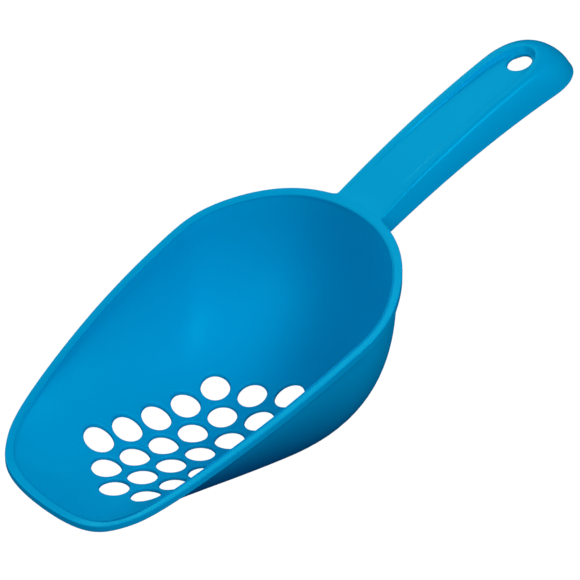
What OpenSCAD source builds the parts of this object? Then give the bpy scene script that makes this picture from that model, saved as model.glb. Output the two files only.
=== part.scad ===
// Sifting feed scoop: a one-piece moulding, drawn as the zones that it is made of.
// The origin is on the plane of the flat underside, below the middle of the scoop's length.
// +X runs back to the handle, +Y is the left side as the scoop is held, +Z is up. Millimetres.
// The shapes are worked out with x counted from the lip, and placed() then moves them.

/* [Bowl outline] */
// Length of the mouth, from the lip to the back of the rim
bowl_len = 149; // [140:1:160]
// Width across the rim at its widest
bowl_w = 118; // [110:1:124]
// Width of the straight front edge of the lip
lip_w = 50; // [40:1:56]
// Width across the rounded corners of the lip
corner_w = 74; // [70:1:80]
// Distance of the lip corners from the front edge
corner_x = 9; // [7:1:12]
// Height of the lip's top edge above the ground
lip_h = 7.5; // [6:0.5:9]
// Height of the rim at the back
rear_h = 82; // [76:1:86]
// How far the rim bows up above a straight line from lip to back
rim_crown = 2.6; // [1:0.1:4]

/* [Walls] */
// Thickness of the bowl's walls and floor
wall_t = 1.8; // [1.6:0.1:2.4]
// Width of the flat top of the rim band
rim_w = 3.7; // [3.4:0.1:4.6]
// Depth of the rim band at the lip
rim_d_lip = 2.5; // [2.2:0.1:3]
// Depth of the rim band at the back
rim_d_rear = 4; // [3.5:0.1:5]
// Where the flat floor starts behind the lip
floor_start = 27; // [22:1:30]
// Where the flat floor ends
floor_end = 85; // [80:1:90]
// Width of the flat floor as a fraction of the rim's width
floor_part = 0.19; // [0.14:0.01:0.24]

/* [Sieve] */
// Diameter of the sift holes
hole_d = 11.4; // [9:0.1:11.8]
// Distance of the first hole from the lip
hole_x = 32.5; // [31:0.5:34]
// Spacing of the holes along the scoop at the front
hole_pitch = 12.7; // [12.6:0.1:13]
// How much the spacing opens up towards the back
pitch_growth = 0.175; // [0.15:0.005:0.2]
// Spacing between the rows of holes
row_pitch = 12.5; // [12.3:0.1:13]
// How far each row next to the middle one is drawn towards the lip
row_lead = 1; // [0:0.1:1.5]
// Holes in the middle row
middle_holes = 7; // [5:1:7]

/* [Handle] */
// Overall length of the scoop
total_len = 249; // [246:1:256]
// Slope of the handle's top
handle_rise = 0.48; // [0.44:0.01:0.5]
// How far the handle's top bows up
handle_crown = 2.8; // [1:0.1:4]
// Width of the handle's top at the bowl
top_w_root = 26.5; // [25:0.5:28]
// Width of the handle's top at the end
top_w_end = 24.4; // [22:0.2:26]
// Width across the open underside at the bowl
base_w_root = 29.7; // [29:0.1:31]
// Width across the open underside at the end
base_w_end = 34.6; // [32:0.2:37]
// Depth of the handle's sides at the bowl
side_d_root = 8.5; // [7:0.5:10]
// Depth of the handle's sides at the end
side_d_end = 13; // [12:0.5:15]
// Width of the sunk panel in the handle's top
panel_w = 18.6; // [17:0.1:19]
// Depth of the sunk panel in the middle
panel_dish = 2.1; // [1:0.1:2.4]
// Thickness of the handle's top
deck_t = 2; // [1.8:0.1:2.4]
// Distance of the hang hole from the lip
hang_x = 227.5; // [225:0.5:229]
// Diameter of the hang hole
hang_d = 10; // [8:0.1:10.4]
// How far the sloping end reaches out past the handle's top
end_run = 14; // [12.5:0.5:16]

/* [Hidden] */

blue = "#0097d0";
deep_blue = "#0080ba";
fine = 64;
eps = 0.01;
// Length of the cylinders that drill the holes, centred where each hole is
drill_h = 60;

module placed() {
    translate([-total_len / 2, 0, 0]) children();
}

// Steps along half of the rim, and along a section of the bowl
half_steps = 40;
ring_steps = 2 * half_steps;
// The floor zone ends at this point of a section, and the wall goes on from there
floor_zone = 0.46;
// Height over which the bowl's sides turn from a flat apron into steep walls
steep_h = 25;
// The section of a steep wall, at the lip's end and at the back: how far out it keeps to the
// floor, how soon it turns upright, and how much it lifts on the way
wall_foot = [0.32, 1];
wall_turn = [0.05, 0.46];
wall_lift = [0.05, 0.17];

// Poles of the left half of the rim, as a smooth curve through the lip and the back. One of
// them leads the side on from the lip's corner, this far behind it and this far outside it
side_lead = [11, 8.5];
rim_poles = [
    [0, 0],
    [0, lip_w / 2],
    [corner_x, corner_w / 2],
    [corner_x, corner_w / 2] + side_lead,
    [0.443 * bowl_len, 0.483 * bowl_w],
    [0.685 * bowl_len, 0.5 * bowl_w],
    [0.819 * bowl_len, 0.496 * bowl_w],
    [bowl_len, 0.241 * bowl_w],
    [bowl_len, 0]
];
degree = 3;
last_pole = len(rim_poles) - 1;
spans = last_pole - degree + 1;

function mix(a, b, t) = a + (b - a) * t;
function clamp(v, low, high) = min(high, max(low, v));
function unit(v) = v / norm(v);
function cubic(a, b, c, d, s) =
    a * pow(1 - s, 3) + 3 * b * s * pow(1 - s, 2) + 3 * c * pow(s, 2) * (1 - s) + d * pow(s, 3);

// A clamped uniform B-spline, by de Boor's rule
function knot(i) = clamp(i - degree, 0, spans);
function de_boor(level, i, t) =
    level == 0 ? rim_poles[i] :
    let(low = knot(i), high = knot(i + degree - level + 1), w = (t - low) / (high - low))
    mix(de_boor(level - 1, i - 1, t), de_boor(level - 1, i, t), w);
function rim_curve(u) =
    let(t = u * spans, span = min(spans - 1, floor(t)) + degree)
    de_boor(degree, span, t);
function rim_inward(u) =
    let(d = unit(rim_curve(min(1, u + eps)) - rim_curve(max(0, u - eps))))
    [d[1], -d[0]];
function rim_z(x) =
    let(f = x / bowl_len)
    mix(lip_h, rear_h, f) + 4 * rim_crown * f * (1 - f);
function rim_depth(x) = mix(rim_d_lip, rim_d_rear, x / bowl_len);
function steepness(x) = clamp((rim_z(x) - lip_h) / steep_h, 0, 1);
// The share of the band's depth that the wall hangs from: nearly none at the flat lip
function hang(x) = max(0.06, steepness(x));

// The wall's edge under the rim band, as [inset from the rim's edge, drop below its top]
function inner_edge(x) = [rim_w, rim_depth(x) * hang(x)];
function outer_edge(x) =
    [rim_w - wall_t * hang(x), rim_depth(x) * hang(x) + wall_t * (1 - hang(x))];

// The band's top lies in the slope of the rim, except at the lip, where it is level
function rim_point(u, inset, drop) =
    let(p = rim_curve(u), q = p + inset * rim_inward(u), steep = steepness(p[0]))
    [q[0], q[1], mix(rim_z(p[0]), rim_z(q[0]), steep) - drop];
function floor_point(u, z) =
    let(p = rim_curve(u))
    [mix(floor_start, floor_end, p[0] / bowl_len), floor_part * p[1], z];

// A point of the bowl's skin: u runs along half of the rim, s from the flat floor to the rim band
function skin_point(u, s, inner) =
    let(
        x = rim_curve(u)[0],
        edge = inner ? inner_edge(x) : outer_edge(x),
        foot = floor_point(u, inner ? wall_t : 0),
        top = rim_point(u, edge[0], edge[1]),
        steep = steepness(x),
        f = x / bowl_len,
        foot_at = mix(wall_foot[0], wall_foot[1], f),
        turn_at = mix(wall_turn[0], wall_turn[1], f),
        lift_at = mix(wall_lift[0], wall_lift[1], f),
        out = cubic(0, mix(1 / 3, foot_at, steep), mix(2 / 3, 1, steep), 1, s),
        up = cubic(0, lift_at * steep, mix(1 / 3, 1 - turn_at, steep), 1, s)
    )
    [mix(foot[0], top[0], out), mix(foot[1], top[1], out), mix(foot[2], top[2], up)];

// Both halves of a ring round the bowl, from the points of its left half
function full_ring(half) = concat(
    half,
    [for (i = [half_steps - 1 : -1 : 1]) [half[i][0], -half[i][1], half[i][2]]]
);
function ring_u() = [for (i = [0 : half_steps]) i / half_steps];
function skin_ring(s, inner) = full_ring([for (u = ring_u()) skin_point(u, s, inner)]);
function band_ring(corner) = full_ring([
    for (u = ring_u())
        let(
            x = rim_curve(u)[0],
            at = [[0, 0], [rim_w, 0], inner_edge(x), outer_edge(x), [0, rim_depth(x)]][corner]
        )
        rim_point(u, at[0], at[1])
]);

// Triangles between two neighbouring rings of n points, with mirrored diagonals on the two
// halves of a ring, and triangles across a ring from side to side
function strip(first, second, n) = [
    for (j = [0 : n - 1])
        let(a = first + j, b = first + (j + 1) % n, c = second + (j + 1) % n, d = second + j)
        each j < n / 2 ? [[a, c, d], [a, b, c]] : [[a, b, d], [b, c, d]]
];
function ladder(first, n, onward) = [
    for (i = [0 : n / 2 - 2])
        let(a = first + i, b = a + 1, c = first + n - 2 - i, d = c + 1)
        each onward ? [[a, b, c], [a, c, d]] : [[a, c, b], [a, d, c]]
];
function joined(rings) = [for (ring = rings) each ring];
function backwards(list) = [for (i = [len(list) - 1 : -1 : 0]) list[i]];

// A solid skinned over closed rings, with an end across the first and the last one
module skinned(rings) {
    n = len(rings[0]);
    last = len(rings) - 1;
    sides = [for (i = [0 : last - 1]) each strip(i * n, (i + 1) * n, n)];
    polyhedron(joined(rings), concat(ladder(0, n, false), sides, ladder(last * n, n, true)));
}

// A solid skinned over closed rings, the last of which leads back to the first
module looped(rings) {
    n = len(rings[0]);
    m = len(rings);
    polyhedron(joined(rings), [for (i = [0 : m - 1]) each strip(i * n, ((i + 1) % m) * n, n)]);
}

function steps(from, to, count) = [for (i = [0 : count]) mix(from, to, i / count)];
floor_steps = steps(0, floor_zone, 4);
wall_steps = steps(floor_zone, 1, 6);

// Rows of holes on each side of the middle one
side_rows = 2;
module sift_holes() {
    for (row = [-side_rows : side_rows])
        for (i = [0 : middle_holes - 1 - abs(row)]) {
            place = i + abs(row) / 2;
            x = hole_x + hole_pitch * place + pitch_growth * pow(place, 2) - row_lead * abs(row);
            translate([x, row * row_pitch, 0])
                cylinder(h = drill_h, d = hole_d, center = true, $fn = fine);
        }
}

module sieve_floor() {
    under = [for (s = floor_steps) skin_ring(s, false)];
    over = [for (s = backwards(floor_steps)) skin_ring(s, true)];
    color(deep_blue)
        placed()
            difference() {
                skinned(concat(under, over));
                sift_holes();
            }
}

// The walls are cut from one ring: the apron at the lip, both sides and the back
apron_end = 9;
side_end = 31;
function wall_section(j) =
    let(i = (j + ring_steps) % ring_steps, u = (i > half_steps ? ring_steps - i : i) / half_steps)
    [
        for (p = concat(
            [for (s = wall_steps) skin_point(u, s, true)],
            [for (s = backwards(wall_steps)) skin_point(u, s, false)]
        ))
            [p[0], i > half_steps ? -p[1] : p[1], p[2]]
    ];
module wall_part(first, last) {
    color(deep_blue)
        placed()
            skinned([for (j = [first : last]) wall_section(j)]);
}
module lip_apron() { wall_part(-apron_end, apron_end); }
module left_wall() { wall_part(apron_end, side_end); }
module back_wall() { wall_part(side_end, ring_steps - side_end); }
module right_wall() { mirror([0, 1, 0]) left_wall(); }

module rim_band() {
    color(blue)
        placed()
            looped([for (corner = [0 : 4]) band_ring(corner)]);
}

// The bowl without its hollow, up to a level well above the rim, for trimming the handle's root
trim_h = 60;
module bowl_core() {
    above = [for (p = band_ring(0)) [p[0], p[1], rear_h + trim_h]];
    sides = [for (s = steps(0, 1, 10)) skin_ring(s, false)];
    skinned(concat(sides, [band_ring(4), above]));
}

// The handle's outlines: the panel's edge, then levels 0 at the top edge to 1 at the open base.
// Between 0 and 1 the sides swell out, crisp at the bowl and round at the end.
PANEL = -1;
panel_border = 1.3;
top_end = total_len - end_run;
panel_end = top_end - panel_border;
end_len = 17;
end_bend = 0.9;
// The handle's first section lies inside the bowl, where it is trimmed to the back wall
root_depth = 9;
root_x = bowl_len - root_depth;
// How quickly the top edges turn from crisp to round along the handle, and how round they get
round_rate = 1.6;
most_round = 0.57;
function along(x) = (x - bowl_len) / (top_end - bowl_len);
function handle_z(x) =
    let(t = along(x))
    rear_h + handle_rise * (x - bowl_len) + 4 * handle_crown * t * (1 - t);
function side_depth(x) = mix(side_d_root, side_d_end, along(x));
function roundness(x) = clamp(round_rate * along(x), 0, most_round);
function swell(level, x) = mix(level, sin(90 * level), roundness(x));
function sink(level, x) = mix(level, 1 - cos(90 * level), roundness(x));
function half_width(level, x) =
    level == PANEL ? panel_w / 2 :
    mix(
        mix(top_w_root, top_w_end, along(x)),
        mix(base_w_root, base_w_end, along(x)),
        swell(level, x)
    ) / 2;
function level_end(level) =
    level == PANEL ? panel_end : mix(top_end, total_len, swell(level, top_end));

// Stations run up the left side, round the end and back down the right side
side_stations = 10;
end_stations = 17;
last_station = 2 * side_stations + end_stations;
function handle_point(j, level, inset, drop) =
    let(
        turn = level_end(level) - inset - end_len,
        a = 90 - 180 * clamp((j - side_stations) / end_stations, 0, 1),
        f = min(j, last_station - j, side_stations) / side_stations,
        x = mix(root_x, turn, f) + end_len * pow(cos(a), end_bend),
        w = half_width(level, min(x, turn)) - inset,
        y = w * sign(a) * pow(abs(sin(a)), end_bend),
        fall = level == PANEL ? 0 : sink(level, x) * side_depth(x)
    )
    [x, y, handle_z(x) - fall - drop];

// The level on the skirt's inside where it meets the underside of the top
inner_level = 0.2;
// A slice through the skirt at one station, from the panel's edge out, down, in and up again
function skirt_slice(j) = concat(
    [handle_point(j, PANEL, 0, 0)],
    [for (level = steps(0, 1, 5)) handle_point(j, level, 0, 0)],
    [for (level = steps(1, inner_level, 5)) handle_point(j, level, wall_t, 0)],
    [handle_point(j, PANEL, 0, deck_t)]
);

module handle_skirt() {
    color(blue)
        placed()
            difference() {
                skinned([for (j = [0 : last_station]) skirt_slice(j)]);
                bowl_core();
            }
}

// The sunk panel: its floor drops away from the bowl, with a short rise round its edge
panel_lead = 12;
panel_start = bowl_len + panel_lead;
panel_rise = 10;
across = [1, 0.94, 0.85, 0.6, 0.3, 0, -0.3, -0.6, -0.85, -0.94, -1];
function panel_drop(x, y) =
    let(
        turn = panel_end - end_len,
        q = pow(
            pow(abs(2 * y / panel_w), 2 / end_bend)
            + pow(clamp((x - turn) / end_len, 0, 1), 2 / end_bend),
            end_bend / 2
        )
    )
    panel_dish * clamp((x - panel_start) / (hang_x - panel_start), 0, 1)
    * (1 - pow(min(1, q), panel_rise));
function deck_line(j, drop) =
    let(edge = handle_point(j, PANEL, 0, drop))
    [for (g = across) let(y = g * edge[1]) [edge[0], y, edge[2] - panel_drop(edge[0], y)]];

module handle_deck() {
    half = floor(last_station / 2);
    hang_tilt = atan(handle_rise - 4 * handle_crown / (top_end - bowl_len) * (2 * along(hang_x) - 1));
    color(blue)
        placed()
            difference() {
                skinned([
                    for (j = [0 : half]) concat(deck_line(j, deck_t), backwards(deck_line(j, 0)))
                ]);
                bowl_core();
                translate([hang_x, 0, handle_z(hang_x) - panel_dish])
                    rotate([0, -hang_tilt, 0])
                        cylinder(h = drill_h, d = hang_d, center = true, $fn = fine);
            }
}

sieve_floor();
lip_apron();
left_wall();
right_wall();
back_wall();
rim_band();
handle_deck();
handle_skirt();
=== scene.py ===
"""Looks of a sifting feed scoop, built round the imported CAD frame.

The scoop is one blue moulding. Each CAD zone gets a finer piece with rounded edges, and the
pieces share their vertices and normals along every seam, so that the moulding reads as one surface.
Shapes are worked out in millimetres: +X runs from the lip to the handle, +Y is left, +Z is up. They
are moved into the CAD's frame, which has its origin at mid-length, when their meshes are made.
"""
import math

import bmesh
import bpy
import numpy as np
from mathutils import Matrix, Vector
from mathutils.geometry import delaunay_2d_cdt

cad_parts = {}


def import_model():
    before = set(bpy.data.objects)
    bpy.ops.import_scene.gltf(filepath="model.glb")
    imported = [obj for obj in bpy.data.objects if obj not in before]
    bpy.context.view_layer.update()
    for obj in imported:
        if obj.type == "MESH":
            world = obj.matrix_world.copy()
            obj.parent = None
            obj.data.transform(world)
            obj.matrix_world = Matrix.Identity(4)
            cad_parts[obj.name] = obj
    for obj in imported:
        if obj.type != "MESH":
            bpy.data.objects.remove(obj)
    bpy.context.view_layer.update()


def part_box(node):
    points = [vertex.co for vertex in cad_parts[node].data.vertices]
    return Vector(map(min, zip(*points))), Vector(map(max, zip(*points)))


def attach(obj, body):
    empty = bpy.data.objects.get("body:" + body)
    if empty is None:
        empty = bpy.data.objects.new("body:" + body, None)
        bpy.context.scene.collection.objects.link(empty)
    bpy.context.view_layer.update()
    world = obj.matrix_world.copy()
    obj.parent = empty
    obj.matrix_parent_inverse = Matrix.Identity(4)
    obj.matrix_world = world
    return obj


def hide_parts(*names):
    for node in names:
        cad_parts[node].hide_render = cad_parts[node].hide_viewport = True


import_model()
MM = 0.001

# ---------------------------------------------------------------- dimensions, in millimetres

rim_low, rim_high = [np.array(corner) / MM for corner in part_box("rim_band")]
LIP = np.array([rim_low[0], 0.0, 0.0])
BOWL_LEN = rim_high[0] - rim_low[0]
REAR_H = rim_high[2]
BOWL_W = 118.0
LIP_W = 50.0
CORNER_W = 74.0
CORNER_X = 9.0
SIDE_LEAD = (11.0, 8.5)
LIP_H = 7.5
RIM_CROWN = 2.6

WALL = 1.8
RIM_W = 3.7
RIM_D_LIP = 2.5
RIM_D_REAR = 4.0
FLOOR_START = 27.0
FLOOR_END = 85.0
FLOOR_PART = 0.19
FLOOR_ZONE = 0.46
STEEP_H = 25.0
WALL_FOOT = (0.32, 1.0)
WALL_TURN = (0.05, 0.46)
WALL_LIFT = (0.05, 0.17)
MIN_HANG = 0.06

HOLE_R = 5.7
HOLE_X = 32.5
HOLE_PITCH = 12.7
PITCH_GROWTH = 0.175
ROW_PITCH = 12.5
ROW_LEAD = 1.0
SIDE_ROWS = 2
MIDDLE_HOLES = 7

TOTAL_LEN = 249.0
END_RUN = 14.0
HANDLE_RISE = 0.48
HANDLE_CROWN = 2.8
TOP_W = (26.5, 24.4)
BASE_W = (29.7, 34.6)
SIDE_D = (8.5, 13.0)
PANEL_W = 18.6
PANEL_DISH = 2.1
PANEL_BORDER = 1.3
PANEL_LEAD = 12.0
DECK_T = 2.0
END_LEN = 17.0
END_BEND = 0.9
ROUND_RATE = 1.6
MOST_ROUND = 0.57
INNER_LEVEL = 0.2
HANG_X = 227.5
HANG_R = 5.0
# The rise round the panel starts this far out across it
PANEL_FOOT = 0.93
TOP_END = TOTAL_LEN - END_RUN
PANEL_END = TOP_END - PANEL_BORDER

# Rounding radii of the moulding's edges
RIM_OUTER_R = 0.45
RIM_INNER_R = 0.4
FLANGE_R = 0.5
HOLE_TOP_R = 0.7
HOLE_BOTTOM_R = 0.35
HANG_TOP_R = 0.6
HANG_BOTTOM_R = 0.3
CREASE_R = 0.9
HANDLE_BASE_R = 0.6
ROOT_FILLET_R = 1.6

# How far the rim's outer edge takes to turn crisp beside the handle
ROOT_MARGIN = 0.6
ROOT_FADE = 3.0

# How finely the pieces are meshed
RING_STEPS = 280
WALL_STEPS = 16
HOLE_SIDES = 48
FLOOR_SPACING = 2.2
EDGE_STEPS = 5
# Bare strip kept round a hole's rounded edge, and the closest that two loose points may lie
HOLE_CLEAR = 0.35
LEAST_GAP = 0.05

# Where the walls divide, in steps round the ring from the lip
APRON_END = 32
SIDE_END = 108

# Lines of points across the sunk panel, as shares of its half width, closer together at its edge
PANEL_LINES = (0.985, 0.965, 0.94, 0.91, 0.87, 0.82, 0.75, 0.6, 0.4, 0.2, 0.0)
# The lines beyond this share keep their neighbouring points joined
TIED_BEYOND = 0.8

# ---------------------------------------------------------------- look

# One plastic: the bowl has a duller finish than the rim and the handle
BLUE = (0.0, 0.30, 0.65)
BOWL_ROUGHNESS = 0.46
TRIM_ROUGHNESS = 0.30
IOR = 1.49
SPECULAR = 0.32
SPECULAR_TINT = (0.05, 0.6, 1.0)
# Repeats per metre of the flow clouds, the rubbed lines and the mould's skin
CLOUD_SCALE = (9, 24, 24)
SCUFF_SCALE = (30, 900, 900)
PEEL_SCALE = 420.0

# The camera sees the floor nearly white, and the scoop sees it dark blue
FLOOR_GLOW = 1.1
FLOOR_SHARE = 0.93
FLOOR_UNSEEN = (0.03, 0.08, 0.18)

# The light is tinted towards cyan, so that reflections stay in the plastic's own colour
LIGHT_TINT = (0.06, 1.0, 0.88)
SKY_TINT = (0.03, 0.7, 1.0)
SKY_STRENGTH = 0.12

# Area lights: name, direction from the bowl, size in metres, power in watts
LIGHTS = (
    ("key", (0.08, -0.72, 0.69), 0.36, 9.4),
    ("left", (0.1, 1.0, 0.6), 0.8, 6.2),
    ("front", (-1.0, -0.2, 0.35), 0.8, 6.4),
    ("back", (0.8, -0.8, 0.8), 0.8, 1.2),
)
# How far off every light stands, and the point that it faces, in metres
LIGHT_FAR = 1.2
LIGHT_AIM = (-0.02, 0, 0.05)

# The camera's lens and its place from a pivot just inside the lip, in millimetres and degrees
CAMERA_LENS = 218.2
CAMERA_PIVOT = (32.4, 0.0, 2.3)
CAMERA_RIGHT = 65.08
CAMERA_UP = 72.32
CAMERA_FAR = 1300.0
CAMERA_AZIMUTH = -38.06
CAMERA_ELEVATION = 28.46
CAMERA_ROLL = -0.19


# ---------------------------------------------------------------- small helpers

def mix(a, b, t):
    return a + (b - a) * t


def smooth(t):
    t = np.clip(t, 0, 1)
    return t * t * (3 - 2 * t)


def cubic(a, b, c, d, s):
    return a * (1 - s) ** 3 + 3 * b * s * (1 - s) ** 2 + 3 * c * s ** 2 * (1 - s) + d * s ** 3


def quarter(steps):
    """Angles of a quarter turn, from 0 to 90 degrees."""
    return [math.pi / 2 * k / steps for k in range(steps + 1)]


def inside(points, outline):
    """Which plan points lie inside a closed outline, by the even-odd rule."""
    x, y = points[:, 0:1], points[:, 1:2]
    x0, y0 = outline[:, 0], outline[:, 1]
    x1, y1 = np.roll(x0, -1), np.roll(y0, -1)
    crosses = (y0 > y) != (y1 > y)
    flat = np.where(y1 == y0, 1e-12, y1 - y0)
    return (crosses & (x < x0 + (y - y0) / flat * (x1 - x0))).sum(1) % 2 == 1


# ---------------------------------------------------------------- shape of the bowl

RIM_POLES = np.array([
    (0, 0),
    (0, LIP_W / 2),
    (CORNER_X, CORNER_W / 2),
    (CORNER_X + SIDE_LEAD[0], CORNER_W / 2 + SIDE_LEAD[1]),
    (0.443 * BOWL_LEN, 0.483 * BOWL_W),
    (0.685 * BOWL_LEN, 0.5 * BOWL_W),
    (0.819 * BOWL_LEN, 0.496 * BOWL_W),
    (BOWL_LEN, 0.241 * BOWL_W),
    (BOWL_LEN, 0),
])
DEGREE = 3
SPANS = len(RIM_POLES) - DEGREE
KNOTS = np.clip(np.arange(len(RIM_POLES) + DEGREE + 1) - DEGREE, 0, SPANS)


def rim_curve(u):
    """Plan points of the rim's left half, a cubic B-spline: u is 0 at the lip and 1 at the back."""
    t = np.clip(u, 0, 1) * SPANS
    span = np.minimum(np.floor(t).astype(int), SPANS - 1) + DEGREE
    d = [RIM_POLES[span - DEGREE + j] for j in range(DEGREE + 1)]
    for level in range(1, DEGREE + 1):
        for j in range(DEGREE, level - 1, -1):
            i = span - DEGREE + j
            low, high = KNOTS[i], KNOTS[i + DEGREE + 1 - level]
            d[j] = mix(d[j - 1], d[j], ((t - low) / (high - low))[:, None])
    return d[DEGREE]


def rim_inward(u):
    step = 0.005
    d = rim_curve(np.minimum(1, u + step)) - rim_curve(np.maximum(0, u - step))
    d /= np.linalg.norm(d, axis=1)[:, None]
    return np.stack([d[:, 1], -d[:, 0]], 1)


def rim_z(x):
    f = x / BOWL_LEN
    return mix(LIP_H, REAR_H, f) + 4 * RIM_CROWN * f * (1 - f)


def rim_depth(x):
    return mix(RIM_D_LIP, RIM_D_REAR, x / BOWL_LEN)


def steepness(x):
    return np.clip((rim_z(x) - LIP_H) / STEEP_H, 0, 1)


def hang(x):
    """The share of the band's depth that the wall hangs from: nearly none at the flat lip."""
    return np.maximum(MIN_HANG, steepness(x))


def rim_point(u, inset, drop):
    p = rim_curve(u)
    q = p + np.asarray(inset).reshape(-1, 1) * rim_inward(u)
    level = mix(rim_z(p[:, 0]), rim_z(q[:, 0]), steepness(p[:, 0]))
    return np.stack([q[:, 0], q[:, 1], level - drop], 1)


def wall_edge(x, inner):
    """Where the wall meets the rim band: its inset from the rim's edge and its drop below the top."""
    drop = rim_depth(x) * hang(x)
    if inner:
        return np.full_like(x, RIM_W), drop
    return RIM_W - WALL * hang(x), drop + WALL * (1 - hang(x))


def skin(u, s, inner):
    """Points of the bowl's skin: u along half of the rim, s from the flat floor up to the rim band."""
    p = rim_curve(u)
    x = p[:, 0]
    top = rim_point(u, *wall_edge(x, inner))
    steep = steepness(x)
    f = x / BOWL_LEN
    out = cubic(0, mix(1 / 3, mix(*WALL_FOOT, f), steep), mix(2 / 3, 1, steep), 1, s)
    up = cubic(0, mix(*WALL_LIFT, f) * steep, mix(1 / 3, 1 - mix(*WALL_TURN, f), steep), 1, s)
    foot_x = mix(FLOOR_START, FLOOR_END, x / BOWL_LEN)
    foot_z = WALL if inner else 0.0
    return np.stack([
        mix(foot_x, top[:, 0], out),
        mix(FLOOR_PART * p[:, 1], top[:, 1], out),
        mix(foot_z, top[:, 2], up),
    ], 1)


def full_ring(shape):
    """A ring round the bowl, from a function of u for its left half. Point 0 is at the lip."""
    half = shape(np.linspace(0, 1, RING_STEPS // 2 + 1))
    return np.concatenate([half, half[-2:0:-1] * (1, -1, 1)])


def skin_ring(s, inner):
    return full_ring(lambda u: skin(u, s, inner))


def skin_height(points, inner):
    """Height of the bowl's skin over plan points of the floor zone, by Newton's method on (u, s)."""
    target = np.stack([points[:, 0], np.abs(points[:, 1])], 1)
    seed_u, seed_s = [g.ravel() for g in np.meshgrid(np.linspace(0, 1, 81), np.linspace(0, 0.6, 25))]
    seeds = skin(seed_u, seed_s, inner)[:, :2]
    best = np.array([((seeds - t) ** 2).sum(1).argmin() for t in target])
    u, s = seed_u[best], seed_s[best]
    step = 1e-4
    for _ in range(12):
        u0, u1 = np.maximum(0, u - step), np.minimum(1, u + step)
        s0, s1 = np.maximum(0, s - step), s + step
        along = (skin(u1, s, inner) - skin(u0, s, inner))[:, :2] / (u1 - u0)[:, None]
        across = (skin(u, s1, inner) - skin(u, s0, inner))[:, :2] / (s1 - s0)[:, None]
        miss = target - skin(u, s, inner)[:, :2]
        det = along[:, 0] * across[:, 1] - along[:, 1] * across[:, 0]
        det = np.where(np.abs(det) < 1e-9, 1e-9, det)
        u = np.clip(u + (miss[:, 0] * across[:, 1] - miss[:, 1] * across[:, 0]) / det, 0, 1)
        s = np.clip(s + (along[:, 0] * miss[:, 1] - along[:, 1] * miss[:, 0]) / det, 0, 0.8)
    flat = inside(points, skin_ring(0, inner)[:, :2])
    return np.where(flat, WALL if inner else 0.0, skin(u, s, inner)[:, 2])


def hole_centres():
    """Plan centres of the sift holes, in staggered rows that open up towards the back."""
    for row in range(-SIDE_ROWS, SIDE_ROWS + 1):
        for i in range(MIDDLE_HOLES - abs(row)):
            place = i + abs(row) / 2
            x = HOLE_X + HOLE_PITCH * place + PITCH_GROWTH * place ** 2 - ROW_LEAD * abs(row)
            yield np.array([x, row * ROW_PITCH])


# ---------------------------------------------------------------- meshing

class Piece:
    """Vertices and faces of one closed piece. Seam faces touch a neighbouring piece and never show."""

    def __init__(self, name, node, slot):
        self.name, self.node, self.slot = name, node, slot
        self.points, self.faces, self.seams = [], [], set()

    def add(self, points):
        """Adds a run of points and returns their indices."""
        first = len(self.points)
        self.points += [tuple(p) for p in np.asarray(points, float)]
        return list(range(first, len(self.points)))

    def face(self, corners, seam=False):
        if seam:
            self.seams.add(len(self.faces))
        self.faces.append(tuple(corners))

    def strip(self, first, second, closed=True, seam=False):
        """Quads between two runs of as many points."""
        n = len(first)
        for j in range(n if closed else n - 1):
            k = (j + 1) % n
            self.face((first[j], first[k], second[k], second[j]), seam)

    def ladder(self, ring, seam=False):
        """Quads across a closed ring, from one side to the other."""
        n = len(ring)
        for i in range(n // 2 - 1):
            self.face((ring[i], ring[i + 1], ring[n - 2 - i], ring[n - 1 - i]), seam)


def filled(outline, circles, loose, ties):
    """Delaunay triangles over a plan area between an outline and some circular holes.

    ties are pairs of loose points that must share an edge. Returns triangles as indices into the
    outline's points, then each circle's, then the loose ones.
    """
    loops = [outline] + circles
    points, edges = [], []
    for loop in loops:
        first, n = len(points), len(loop)
        points += [Vector(p) for p in loop]
        edges += [(first + i, first + (i + 1) % n) for i in range(n)]
    edges += [(len(points) + a, len(points) + b) for a, b in ties]
    points += [Vector(p) for p in loose]
    out, _, triangles, origin, _, _ = delaunay_2d_cdt(points, edges, [], 0, 1e-7)
    source = [o[0] for o in origin]
    flat = np.array([p[:] for p in out])
    centre = np.array([flat[list(t)].mean(0) for t in triangles])
    keep = inside(centre, outline)
    for circle in circles:
        middle = circle.mean(0)
        reach = np.linalg.norm(circle[0] - middle)
        keep &= np.linalg.norm(centre - middle, axis=1) > reach * math.cos(math.pi / len(circle)) - 1e-6
    return [tuple(source[i] for i in t) for t, k in zip(triangles, keep) if k]


def grid_points(low, high, spacing):
    """A staggered grid of plan points over a box, mirrored about y = 0."""
    row_step = spacing * 0.866
    rows = int(high[1] / row_step) + 1
    found = []
    for row in range(rows + 1):
        shift = spacing / 2 * (row % 2)
        for x in np.arange(low[0] + shift, high[0], spacing):
            for side in ((1, -1) if row else (1,)):
                found.append((x, side * row * row_step))
    return np.array(found)


def circle_at(centre, radius, sides=HOLE_SIDES):
    a = np.arange(sides) * 2 * math.pi / sides
    return centre + radius * np.stack([np.cos(a), np.sin(a)], 1)


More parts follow.
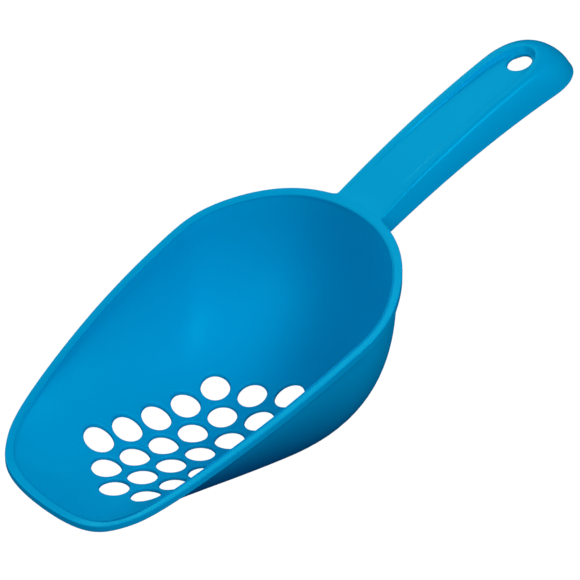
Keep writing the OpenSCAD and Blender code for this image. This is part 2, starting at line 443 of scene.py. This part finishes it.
def holed_sheet(piece, outline, centres, radius, edge_r, loose, lift, ties=(), edge_steps=5):
    """One face of a plate with round holes, whose edges are rounded over.

    lift(points, sink) turns plan points into space, sunk below the face by sink.
    Returns the indices of the outline and of each hole's innermost ring.
    """
    outer = [circle_at(c, radius + edge_r) for c in centres]
    clear = np.ones(len(loose), bool)
    for c in centres:
        clear &= np.linalg.norm(loose - c, axis=1) > radius + edge_r + HOLE_CLEAR
    ties = [(a, b) for a, b in ties if clear[a] and clear[b] and all(
        np.linalg.norm((loose[a] + loose[b]) / 2 - c) > radius + edge_r + HOLE_CLEAR for c in centres)]
    place = np.cumsum(clear) - 1
    ties = [(int(place[a]), int(place[b])) for a, b in ties]
    loose = loose[clear]
    everything = np.concatenate([outline] + outer + [loose])
    index = piece.add(lift(everything, 0.0))
    for triangle in filled(outline, outer, loose, ties):
        piece.face([index[i] for i in triangle])
    rims = []
    for number, c in enumerate(centres):
        start = len(outline) + number * HOLE_SIDES
        ring = index[start:start + HOLE_SIDES]
        for angle in quarter(edge_steps)[1:]:
            reach = radius + edge_r * (1 - math.sin(angle))
            inner = piece.add(lift(circle_at(c, reach), edge_r * (1 - math.cos(angle))))
            piece.strip(ring, inner)
            ring = inner
        rims.append(ring)
    return index[:len(outline)], rims


# ---------------------------------------------------------------- the bowl's pieces

def sieve_floor():
    piece = Piece("sieve_floor_shell", "sieve_floor", "bowl_plastic")
    centres = list(hole_centres())
    edges, rims = [], []
    for inner, edge_r, sign in ((True, HOLE_TOP_R, -1), (False, HOLE_BOTTOM_R, 1)):
        ring = skin_ring(FLOOR_ZONE, inner)
        outline = ring[:, :2]
        foot = skin_ring(0, inner)[::3, :2]
        loose = grid_points(outline.min(0), outline.max(0), FLOOR_SPACING)
        margin = outline.mean(0) + (outline - outline.mean(0)) * 0.972
        loose = loose[inside(loose, margin)]
        near_foot = ((loose[:, None] - foot[None]) ** 2).sum(2).min(1) < 0.7 ** 2
        loose = np.concatenate([loose[~near_foot], foot])

        def lift(points, sink, inner=inner, sign=sign):
            height = skin_height(points, inner) + sign * sink
            return np.column_stack([points, height])

        edge, rim = holed_sheet(piece, outline, centres, HOLE_R, edge_r, loose, lift)
        for i, p in zip(edge, ring):
            piece.points[i] = tuple(p)
        edges.append(edge)
        rims.append(rim)
    for top, bottom in zip(*rims):
        piece.strip(top, bottom)
    piece.strip(edges[0], edges[1], seam=True)
    return piece


def wall(name, node, first, last):
    """A stretch of the bowl's wall between two places on the ring, counted from the lip."""
    piece = Piece(name, node, "bowl_plastic")
    steps = np.linspace(FLOOR_ZONE, 1, WALL_STEPS + 1)
    columns = [j % RING_STEPS for j in range(first, last + 1)]
    runs = [skin_ring(s, True)[columns] for s in steps]
    runs += [skin_ring(s, False)[columns] for s in steps[::-1]]
    lines = [piece.add(run) for run in runs]
    n = len(lines)
    for i in range(n):
        a, b = lines[i], lines[(i + 1) % n]
        piece.strip(a, b, closed=False, seam=i in (WALL_STEPS, n - 1))
    for end in (0, -1):
        piece.ladder([line[end] for line in lines], seam=True)
    return piece


def band_point(u, corner):
    """A point of the rim band's profile, whose arcs are numbered from the outside over the top."""
    p = rim_curve(u)
    x = p[:, 0]
    depth = rim_depth(x)
    side, foot = wall_edge(x, True), wall_edge(x, False)
    # The outer edge turns crisp where the handle's top runs into the rim
    beside_handle = smooth((p[:, 1] - TOP_W[0] / 2 - ROOT_MARGIN) / ROOT_FADE)
    outer_r = RIM_OUTER_R * np.where(x < 0.8 * BOWL_LEN, 1, np.maximum(beside_handle, 0.03))
    inner_r = np.minimum(RIM_INNER_R, 0.8 * side[1])
    flange_r = np.minimum(FLANGE_R, 0.35 * depth)
    edge, k = divmod(corner, EDGE_STEPS + 1)
    a = math.pi / 2 * k / EDGE_STEPS
    if edge == 0:
        return rim_point(u, outer_r * (1 - math.cos(a)), outer_r * (1 - math.sin(a)))
    if edge == 1:
        return rim_point(u, RIM_W - inner_r * (1 - math.sin(a)), inner_r * (1 - math.cos(a)))
    if edge == 2:
        return rim_point(u, flange_r * (1 - math.sin(a)), depth - flange_r * (1 - math.cos(a)))
    return rim_point(u, *(side if k == 0 else foot))


def rim_band():
    piece = Piece("rim_bead", "rim_band", "rim_plastic")
    arc = EDGE_STEPS + 1
    top_outer, top_inner, flange = [list(range(edge * arc, (edge + 1) * arc)) for edge in range(3)]
    side, foot = 3 * arc, 3 * arc + 1
    path = top_outer + top_inner[::-1] + [side, foot] + flange
    rings = [piece.add(full_ring(lambda u, c=corner: band_point(u, c))) for corner in path]
    for i, ring in enumerate(rings):
        piece.strip(ring, rings[(i + 1) % len(rings)], seam=path[i] == side)
    return piece


# ---------------------------------------------------------------- the handle's pieces

back_u = np.linspace(0.8, 1, 400)
BACK = rim_curve(back_u)[::-1]
BURIED = 2.8
SIDE_STATIONS = 46
END_STATIONS = 36
LAST_STATION = 2 * SIDE_STATIONS + END_STATIONS
PANEL = -1


def back_x(y):
    """How far back the rim's outer edge lies at a distance y from the middle."""
    return np.interp(np.abs(y), BACK[:, 1], BACK[:, 0])


def along(x):
    return (x - BOWL_LEN) / (TOP_END - BOWL_LEN)


def handle_z(x):
    t = along(x)
    return REAR_H + HANDLE_RISE * (x - BOWL_LEN) + 4 * HANDLE_CROWN * t * (1 - t)


def side_depth(x):
    return mix(*SIDE_D, along(x))


def roundness(x):
    return np.clip(ROUND_RATE * along(x), 0, MOST_ROUND)


def side_section(t, x):
    """The handle's side at t from its top edge: share of the spread, share of the depth, inset."""
    corner = 0.3
    crease = CREASE_R / side_depth(x)
    if t < corner:
        k = t / corner
        crisp_in, crisp_down = -CREASE_R * (1 - k) ** 2, crease * k ** 2
        crisp_out = crisp_down
    else:
        crisp_in = 0.0
        crisp_down = mix(crease, 1, (t - corner) / (1 - corner))
        crisp_out = crisp_down
    round_out, round_down = math.sin(t * math.pi / 2), 1 - math.cos(t * math.pi / 2)
    round_in = -CREASE_R * (1 - round_out)
    r = roundness(x)
    return mix(crisp_out, round_out, r), mix(crisp_down, round_down, r), mix(crisp_in, round_in, r)


def root_steps(count, start, end):
    """Places from the bowl to the end's turn, the first buried in the wall and the rest opening out."""
    t = np.linspace(0, 1, count)
    return start + (end - start) * (0.25 * t + 0.75 * t ** 2)


def handle_line(level, inset=0.0, drop=0.0):
    """A line of points up the handle's left side, round its end and back down the right side.

    level is PANEL for the sunk panel's edge, or 0 at the top edge to 1 at the open base.
    """
    on_side = level != PANEL
    reach = PANEL_END
    if on_side:
        spread, _, start_in = side_section(level, TOP_END)
        reach = mix(TOP_END, TOTAL_LEN, spread) + start_in
    turn = reach - inset - END_LEN

    def half_width(x):
        if not on_side:
            return PANEL_W / 2
        t = along(x)
        spread, _, start_in = side_section(level, x)
        return mix(mix(*TOP_W, t), mix(*BASE_W, t), spread) / 2 + start_in

    edge_x = float(back_x(half_width(BOWL_LEN) - inset))
    places = np.concatenate([[edge_x - BURIED], root_steps(SIDE_STATIONS, edge_x, turn)])
    points = []
    for j in range(LAST_STATION + 1):
        f = min(j, LAST_STATION - j, SIDE_STATIONS)
        a = math.pi / 2 - math.pi * np.clip((j - SIDE_STATIONS) / END_STATIONS, 0, 1)
        x = places[f] + END_LEN * max(0.0, math.cos(a)) ** END_BEND * (f == SIDE_STATIONS)
        width = half_width(min(x, turn)) - inset
        fall = side_section(level, x)[1] * side_depth(x) if on_side else 0.0
        if on_side and inset == 0:
            d = np.clip(1 - (x - edge_x) / ROOT_FILLET_R, 0, 1)
            width += ROOT_FILLET_R * (1 - math.sqrt(1 - d * d))
        y = width * np.sign(math.sin(a)) * abs(math.sin(a)) ** END_BEND
        bury = 0.5 * (f == 0)
        points.append((x, y, handle_z(x) - fall - drop - bury))
    return np.array(points)


def handle_skirt():
    """The handle's border, sides and end: an arch-shaped channel, open underneath."""
    piece = Piece("handle_channel", "handle_skirt", "handle_plastic")
    border = handle_line(PANEL)
    top = handle_line(0.0)
    lines = [border, mix(border, top, 0.35), mix(border, top, 0.7)]
    lines += [handle_line(t) for t in np.linspace(0, 1, 21)[:-1]]
    r = HANDLE_BASE_R
    lines += [handle_line(1.0, drop=-r)]
    lines += [handle_line(1.0, inset=r * (1 - math.cos(a)), drop=-r * (1 - math.sin(a)))
              for a in quarter(4)[1:]]
    lines += [handle_line(1.0, inset=WALL - r * (1 - math.cos(a)), drop=-r * (1 - math.sin(a)))
              for a in quarter(4)[::-1]]
    lines += [handle_line(t, inset=WALL) for t in np.linspace(0.92, INNER_LEVEL, 10)]
    lines += [handle_line(PANEL, drop=DECK_T)]
    runs = [piece.add(line) for line in lines]
    n = len(runs)
    for i in range(n):
        piece.strip(runs[i], runs[(i + 1) % n], closed=False, seam=i == n - 1)
    for end in (0, -1):
        ring = [run[end] for run in runs]
        piece.face(ring, seam=True)
    return piece


def panel_q(x, y):
    """1 on the panel's edge, falling to 0 along its middle."""
    across = np.abs(2 * y / PANEL_W) ** (2 / END_BEND)
    beyond = np.clip((x - (PANEL_END - END_LEN)) / END_LEN, 0, 1) ** (2 / END_BEND)
    return (across + beyond) ** (END_BEND / 2)


def panel_drop(x, y):
    """Depth of the sunk panel: it fades in from the bowl and has a short rise round its edge."""
    start = BOWL_LEN + PANEL_LEAD
    gone = np.clip((x - start) / (HANG_X - start), 0, 1)
    fade = smooth(gone) * 0.35 + gone * 0.65
    return PANEL_DISH * fade * (1 - smooth((panel_q(x, y) - PANEL_FOOT) / (1 - PANEL_FOOT)))


HANG_SLOPE = HANDLE_RISE + 4 * HANDLE_CROWN * (1 - 2 * along(HANG_X)) / (TOP_END - BOWL_LEN)
HANG_TILT = math.atan(HANG_SLOPE)
HANG_AXIS = np.array([-math.sin(HANG_TILT), 0.0, math.cos(HANG_TILT)])
HANG_ALONG = np.array([math.cos(HANG_TILT), 0.0, math.sin(HANG_TILT)])


def deck_z(x, y):
    return handle_z(x) - panel_drop(x, y)


def deck_point(x, y, drop):
    return np.stack([x, y, deck_z(x, y) - drop], 1)


def deck_normal(x, y):
    """The true normal of the deck's top, from its slopes."""
    step = 0.02
    along_x = (deck_z(x + step, y) - deck_z(x - step, y)) / (2 * step)
    along_y = (deck_z(x, y + step) - deck_z(x, y - step)) / (2 * step)
    return Vector((-along_x, -along_y, 1)).normalized()


def deck_at(plan, drop):
    """Points of the deck over a plan that is square to the hang hole: (distance along it, y)."""
    x = plan[:, 0] / math.cos(HANG_TILT)
    for _ in range(30):
        p = deck_point(x, plan[:, 1], drop)
        x = x + (plan[:, 0] - p @ HANG_ALONG) * 0.8
    return deck_point(x, plan[:, 1], drop)


def handle_deck():
    """The floor of the sunk panel, with the hang hole through it."""
    piece = Piece("handle_panel", "handle_deck", "handle_plastic")
    centre = np.array([deck_point(np.array([HANG_X]), np.zeros(1), 0)[0] @ HANG_ALONG, 0.0])
    edges, rims = [], []
    for drop, edge_r, sign in ((0.0, HANG_TOP_R, -1), (DECK_T, HANG_BOTTOM_R, 1)):
        line = handle_line(PANEL, drop=drop)
        across = np.linspace(line[-1, 1], line[0, 1], 12)[1:-1]
        root = np.array([[back_x(y) - BURIED, y, 0] for y in across])
        root[:, 2] = handle_z(root[:, 0]) - drop - 0.5
        ring = np.concatenate([line, root])
        outline = np.stack([ring @ HANG_ALONG, ring[:, 1]], 1)
        loose, ties = [], []
        for q in PANEL_LINES:
            inner = line[1:-1].copy()
            turn = PANEL_END - END_LEN
            inner[:, 1] *= q
            inner[:, 0] = np.where(inner[:, 0] > turn, turn + (inner[:, 0] - turn) * q, inner[:, 0])
            spots = deck_point(inner[:, 0], inner[:, 1], drop)
            if q == 0:
                spots = spots[:len(spots) // 2]
            first = len(loose)
            loose += list(np.stack([spots @ HANG_ALONG, spots[:, 1]], 1))
            if q > TIED_BEYOND:
                ties += [(i, i + 1) for i in range(first, len(loose) - 1)]
        loose = np.array(loose)
        kept = []
        for i in np.flatnonzero(inside(loose, outline)):
            if not kept or ((loose[kept] - loose[i]) ** 2).sum(1).min() > LEAST_GAP ** 2:
                kept.append(i)
        place = {old: new for new, old in enumerate(kept)}
        ties = [(place[a], place[b]) for a, b in ties if a in place and b in place]
        loose = loose[kept]

        def lift(points, sink, drop=drop, sign=sign):
            return deck_at(points, drop) + sign * sink * HANG_AXIS

        edge, rim = holed_sheet(piece, outline, [centre], HANG_R, edge_r, loose, lift, ties)
        for i, p in zip(edge, ring):
            piece.points[i] = tuple(p)
        edges.append(edge)
        rims.append(rim[0])
    piece.strip(rims[0], rims[1])
    piece.strip(edges[0], edges[1], seam=True)
    return piece


# ---------------------------------------------------------------- seamless shading

CREASE_ANGLE = 38
ROOT_BLEND = 7.0


def oriented(piece):
    """Makes the piece's mesh in the CAD's frame, with its faces turned outwards."""
    mesh = bpy.data.meshes.new(piece.name)
    mesh.from_pydata([Vector((np.array(p) + LIP) * MM) for p in piece.points], [], piece.faces)
    work = bmesh.new()
    work.from_mesh(mesh)
    bmesh.ops.recalc_face_normals(work, faces=work.faces)
    work.to_mesh(mesh)
    work.free()
    return mesh


def share_normals(pieces, meshes):
    """Gives all pieces one set of smooth normals, over every showing face that meets at a place."""
    meeting = {}
    where = []
    for piece, mesh in zip(pieces, meshes):
        keys = [tuple(int(round(c * 2e6)) for c in v.co) for v in mesh.vertices]
        where.append(keys)
        for face in mesh.polygons:
            if face.index in piece.seams:
                continue
            for v in face.vertices:
                meeting.setdefault(keys[v], []).append((face.normal.copy(), face.area))
    limit = math.cos(math.radians(CREASE_ANGLE))
    for piece, mesh, keys in zip(pieces, meshes, where):
        normals = []
        for face in mesh.polygons:
            for v in face.vertices:
                if face.index in piece.seams:
                    normals.append(face.normal.copy())
                    continue
                total = Vector((0, 0, 0))
                for normal, area in meeting[keys[v]]:
                    if normal.dot(face.normal) > limit:
                        total += normal * area
                total.normalize()
                normals.append(total)
        if piece.node in ("handle_deck", "handle_skirt"):
            normals = root_normals(mesh, normals, piece.node == "handle_deck")
        mesh.shade_smooth()
        mesh.normals_split_custom_set(normals)


def root_normals(mesh, normals, on_deck):
    """Leads the handle's top normals over to the rim's top at the root."""
    slope = rim_z(BOWL_LEN) - rim_z(BOWL_LEN - 1)
    rim_up = Vector((-slope, 0, 1)).normalized()
    out = []
    i = 0
    for face in mesh.polygons:
        for v in face.vertices:
            x, y, z = np.array(mesh.vertices[v].co) / MM - LIP
            gap = x - float(back_x(y))
            share = 1 - float(smooth(gap / ROOT_BLEND))
            if on_deck and abs(z - deck_z(x, y)) < 0.02 and face.normal.z > 0:
                normals[i] = deck_normal(x, y)
            if normals[i].z > 0.75 and share > 0:
                out.append(normals[i].lerp(rim_up, share).normalized())
            else:
                out.append(normals[i])
            i += 1
    return out


# ---------------------------------------------------------------- materials

def node(tree, kind, **values):
    made = tree.nodes.new(kind)
    for key, value in values.items():
        if key.startswith("in_"):
            made.inputs[key[3:].replace("_", " ")].default_value = value
        else:
            setattr(made, key, value)
    return made


def moulded_plastic(name, colour, roughness):
    """Moulded polypropylene: faint flow clouds, fine dull scuffs and a shallow orange peel."""
    material = bpy.data.materials.new(name)
    material.use_nodes = True
    tree = material.node_tree
    link = tree.links.new
    shader = tree.nodes["Principled BSDF"]
    place = node(tree, "ShaderNodeTexCoord").outputs["Object"]

    # Slow clouds in the pigment, drawn out along the flow from the handle to the lip
    flow = node(tree, "ShaderNodeMapping")
    flow.inputs["Scale"].default_value = CLOUD_SCALE
    link(place, flow.inputs["Vector"])
    clouds = node(tree, "ShaderNodeTexNoise", in_Scale=1.0, in_Detail=3.0, in_Roughness=0.5)
    link(flow.outputs["Vector"], clouds.inputs["Vector"])
    tone = node(tree, "ShaderNodeMapRange", in_From_Min=0.3, in_From_Max=0.7, in_To_Min=0.98, in_To_Max=1.02)
    link(clouds.outputs["Fac"], tone.inputs["Value"])
    pigment = node(tree, "ShaderNodeMix", data_type="RGBA", blend_type="MULTIPLY")
    pigment.inputs["Factor"].default_value = 1.0
    pigment.inputs[6].default_value = (*colour, 1)
    link(tone.outputs["Result"], pigment.inputs[7])

    # Fine lines where feed has rubbed along the scoop
    lines = node(tree, "ShaderNodeMapping")
    lines.inputs["Scale"].default_value = SCUFF_SCALE
    link(place, lines.inputs["Vector"])
    scuffs = node(tree, "ShaderNodeTexNoise", in_Scale=1.0, in_Detail=2.0, in_Roughness=0.6)
    link(lines.outputs["Vector"], scuffs.inputs["Vector"])
    worn = node(tree, "ShaderNodeMapRange", in_From_Min=0.58, in_From_Max=0.8, in_To_Min=0.0, in_To_Max=0.02)
    link(scuffs.outputs["Fac"], worn.inputs["Value"])
    rough = node(tree, "ShaderNodeMath", operation="ADD")
    rough.inputs[0].default_value = roughness
    link(worn.outputs["Result"], rough.inputs[1])

    # The skin of the mould: a fine, shallow orange peel
    peel = node(tree, "ShaderNodeTexNoise", in_Scale=PEEL_SCALE, in_Detail=2.0, in_Roughness=0.5)
    link(place, peel.inputs["Vector"])
    bump = node(tree, "ShaderNodeBump", in_Strength=0.012, in_Distance=0.0002)
    link(peel.outputs["Fac"], bump.inputs["Height"])

    link(pigment.outputs[2], shader.inputs["Base Color"])
    link(rough.outputs["Value"], shader.inputs["Roughness"])
    link(bump.outputs["Normal"], shader.inputs["Normal"])
    shader.inputs["IOR"].default_value = IOR
    shader.inputs["Specular IOR Level"].default_value = SPECULAR
    shader.inputs["Specular Tint"].default_value = (*SPECULAR_TINT, 1)
    return material


materials = {
    "bowl_plastic": moulded_plastic("bowl_plastic", BLUE, BOWL_ROUGHNESS),
    "rim_plastic": moulded_plastic("rim_plastic", BLUE, TRIM_ROUGHNESS),
    "handle_plastic": moulded_plastic("handle_plastic", BLUE, TRIM_ROUGHNESS),
}

pieces = [
    sieve_floor(),
    wall("lip_apron_shell", "lip_apron", -APRON_END, APRON_END),
    wall("left_wall_shell", "left_wall", APRON_END, SIDE_END),
    wall("right_wall_shell", "right_wall", RING_STEPS - SIDE_END, RING_STEPS - APRON_END),
    wall("back_wall_shell", "back_wall", SIDE_END, RING_STEPS - SIDE_END),
    rim_band(),
    handle_deck(),
    handle_skirt(),
]
meshes = [oriented(piece) for piece in pieces]
share_normals(pieces, meshes)
for piece, mesh in zip(pieces, meshes):
    thing = bpy.data.objects.new(piece.name, mesh)
    bpy.context.scene.collection.objects.link(thing)
    mesh.materials.append(materials[piece.slot])
    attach(thing, "root")
    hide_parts(piece.node)


# ---------------------------------------------------------------- floor, light and camera

def floor():
    """A plain floor that the camera sees nearly white, with a faint shadow."""
    mesh = bpy.data.meshes.new("floor")
    half, level = 4.0, -0.0002
    corners = [(-half, -half, level), (half, -half, level), (half, half, level), (-half, half, level)]
    mesh.from_pydata(corners, [], [(0, 1, 2, 3)])
    thing = bpy.data.objects.new("floor", mesh)
    bpy.context.scene.collection.objects.link(thing)
    material = bpy.data.materials.new("pale_floor")
    material.use_nodes = True
    tree = material.node_tree
    shader = tree.nodes["Principled BSDF"]
    shader.inputs["Base Color"].default_value = (*FLOOR_UNSEEN, 1)
    shader.inputs["Roughness"].default_value = 0.9
    shader.inputs["Specular IOR Level"].default_value = 0.1
    glow = node(tree, "ShaderNodeEmission", in_Color=(1, 1, 1, 1), in_Strength=FLOOR_GLOW)
    sight = node(tree, "ShaderNodeLightPath")
    share = node(tree, "ShaderNodeMath", operation="MULTIPLY")
    share.inputs[1].default_value = FLOOR_SHARE
    tree.links.new(sight.outputs["Is Camera Ray"], share.inputs[0])
    blend = node(tree, "ShaderNodeMixShader")
    tree.links.new(share.outputs["Value"], blend.inputs["Fac"])
    tree.links.new(shader.outputs["BSDF"], blend.inputs[1])
    tree.links.new(glow.outputs["Emission"], blend.inputs[2])
    tree.links.new(blend.outputs["Shader"], tree.nodes["Material Output"].inputs["Surface"])
    mesh.materials.append(material)


def area_light(name, direction, size, power):
    """A soft square light that faces the bowl's middle from a direction."""
    data = bpy.data.lights.new(name, "AREA")
    data.shape = "SQUARE"
    data.size = size
    data.energy = power
    data.color = LIGHT_TINT
    thing = bpy.data.objects.new(name, data)
    bpy.context.scene.collection.objects.link(thing)
    aim = Vector(direction).normalized()
    thing.location = Vector(LIGHT_AIM) + aim * LIGHT_FAR
    thing.rotation_mode = "QUATERNION"
    thing.rotation_quaternion = (-aim).to_track_quat("-Z", "Y")


def world():
    """An even tinted sky that the camera itself sees as plain white."""
    scene_world = bpy.data.worlds.new("studio")
    bpy.context.scene.world = scene_world
    scene_world.use_nodes = True
    tree = scene_world.node_tree
    back = tree.nodes["Background"]
    back.inputs["Color"].default_value = (*SKY_TINT, 1)
    back.inputs["Strength"].default_value = SKY_STRENGTH
    white = node(tree, "ShaderNodeBackground", in_Color=(1, 1, 1, 1), in_Strength=1.0)
    sight = node(tree, "ShaderNodeLightPath")
    blend = node(tree, "ShaderNodeMixShader")
    tree.links.new(sight.outputs["Is Camera Ray"], blend.inputs["Fac"])
    tree.links.new(back.outputs["Background"], blend.inputs[1])
    tree.links.new(white.outputs["Background"], blend.inputs[2])
    tree.links.new(blend.outputs["Shader"], tree.nodes["World Output"].inputs["Surface"])


def camera():
    """A long lens from ahead of the lip and to the right, looking down into the bowl."""
    azimuth, elevation, roll = [math.radians(a) for a in (CAMERA_AZIMUTH, CAMERA_ELEVATION, CAMERA_ROLL)]
    flat = math.cos(elevation)
    back = Vector((math.sin(azimuth) * flat, -math.cos(azimuth) * flat, math.sin(elevation)))
    level = Vector((math.cos(azimuth), math.sin(azimuth), 0))
    right = math.cos(roll) * level + math.sin(roll) * back.cross(level)
    up = back.cross(right)
    data = bpy.data.cameras.new("camera")
    data.sensor_width = 36
    data.lens = CAMERA_LENS
    data.clip_end = 50
    thing = bpy.data.objects.new("camera", data)
    bpy.context.scene.collection.objects.link(thing)
    aim = Vector(LIP * MM) + Vector(CAMERA_PIVOT) * MM
    place = aim + (right * CAMERA_RIGHT + up * CAMERA_UP + back * CAMERA_FAR) * MM
    thing.matrix_world = Matrix.Translation(place) @ Matrix((right, up, back)).transposed().to_4x4()
    bpy.context.scene.camera = thing


floor()
world()
for light in LIGHTS:
    area_light(*light)
camera()
bpy.context.scene.view_settings.view_transform = "Standard"
bpy.context.scene.view_settings.look = "None"
